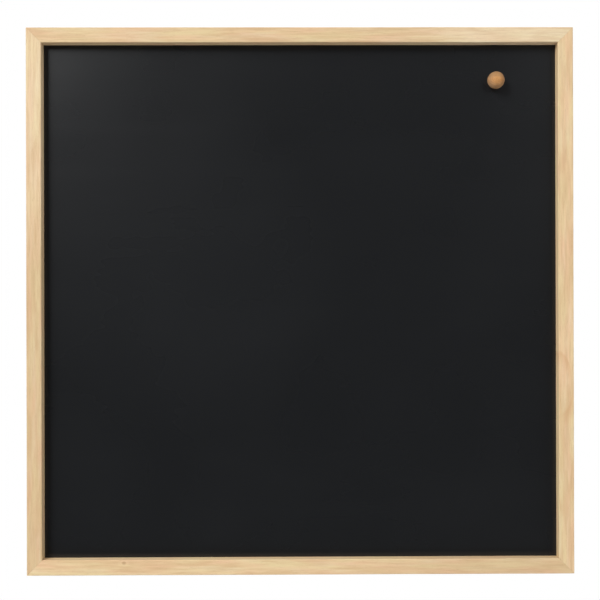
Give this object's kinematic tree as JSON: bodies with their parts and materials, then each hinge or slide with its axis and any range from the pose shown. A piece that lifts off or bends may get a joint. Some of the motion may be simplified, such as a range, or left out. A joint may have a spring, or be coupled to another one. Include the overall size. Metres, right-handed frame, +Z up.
{
  "type": "magnetic chalkboard",
  "caption": "Square wall-hung magnetic chalkboard: a black enamelled steel sheet set back in a mitred wooden frame, with a turned wooden ball magnet and swinging hanger rings.",
  "frame": {"origin": "the middle of the board on the wall plane, which the flat backs of the four wall pads lie on", "axes": "+X to the right as seen from the front, +Y into the wall, +Z up; the board faces -Y"},
  "size_m": [0.53, 0.0292, 0.53],
  "materials": {
    "frame_wood": "pale oak, clear matt oil",
    "chalkboard_enamel": "black satin chalkboard enamel on steel",
    "hardboard": "bare pressed fibre",
    "zinc_steel": "zinc plated",
    "nickel": "nickel plated",
    "pad_rubber": "matt",
    "ball_wood": "turned and oiled"
  },
  "bodies": {
    "board": {"top_rail": "frame_wood", "bottom_rail": "frame_wood", "left_stile": "frame_wood", "right_stile": "frame_wood", "corner_wedge_top_left": "zinc_steel", "corner_wedge_top_right": "zinc_steel", "corner_wedge_bottom_left": "zinc_steel", "corner_wedge_bottom_right": "zinc_steel", "chalkboard_sheet": "chalkboard_enamel", "backing_panel": "hardboard", "framing_point_top_left": "zinc_steel", "framing_point_top_middle": "zinc_steel", "framing_point_top_right": "zinc_steel", "framing_point_bottom_left": "zinc_steel", "framing_point_bottom_middle": "zinc_steel", "framing_point_bottom_right": "zinc_steel", "framing_point_left_upper": "zinc_steel", "framing_point_left_middle": "zinc_steel", "framing_point_left_lower": "zinc_steel", "framing_point_right_upper": "zinc_steel", "framing_point_right_middle": "zinc_steel", "framing_point_right_lower": "zinc_steel", "hanger_strap_left": "zinc_steel", "hanger_strap_right": "zinc_steel", "hanger_screw_left_upper": "zinc_steel", "hanger_screw_left_lower": "zinc_steel", "hanger_screw_right_upper": "zinc_steel", "hanger_screw_right_lower": "zinc_steel", "wall_pad_top_left": "pad_rubber", "wall_pad_top_right": "pad_rubber", "wall_pad_bottom_left": "pad_rubber", "wall_pad_bottom_right": "pad_rubber"},
    "ring_left": {"hanger_ring_left": "zinc_steel"},
    "ring_right": {"hanger_ring_right": "zinc_steel"},
    "magnet": {"magnet_ball": "ball_wood", "magnet_disc": "nickel"}
  },
  "joints": [
    {"name": "magnet_pull", "type": "slide", "parent": "board", "child": "magnet", "axis": [0, -1, 0], "range_m": [0, 0.06]},
    {"name": "ring_left_swing", "type": "hinge", "parent": "board", "child": "ring_left", "pos_m": [-0.259, -0.0023, 0.155], "axis": [1, 0, 0], "range_deg": [0, 180]},
    {"name": "ring_right_swing", "type": "hinge", "parent": "board", "child": "ring_right", "pos_m": [0.259, -0.0023, 0.155], "axis": [1, 0, 0], "range_deg": [0, 180]}
  ]
}
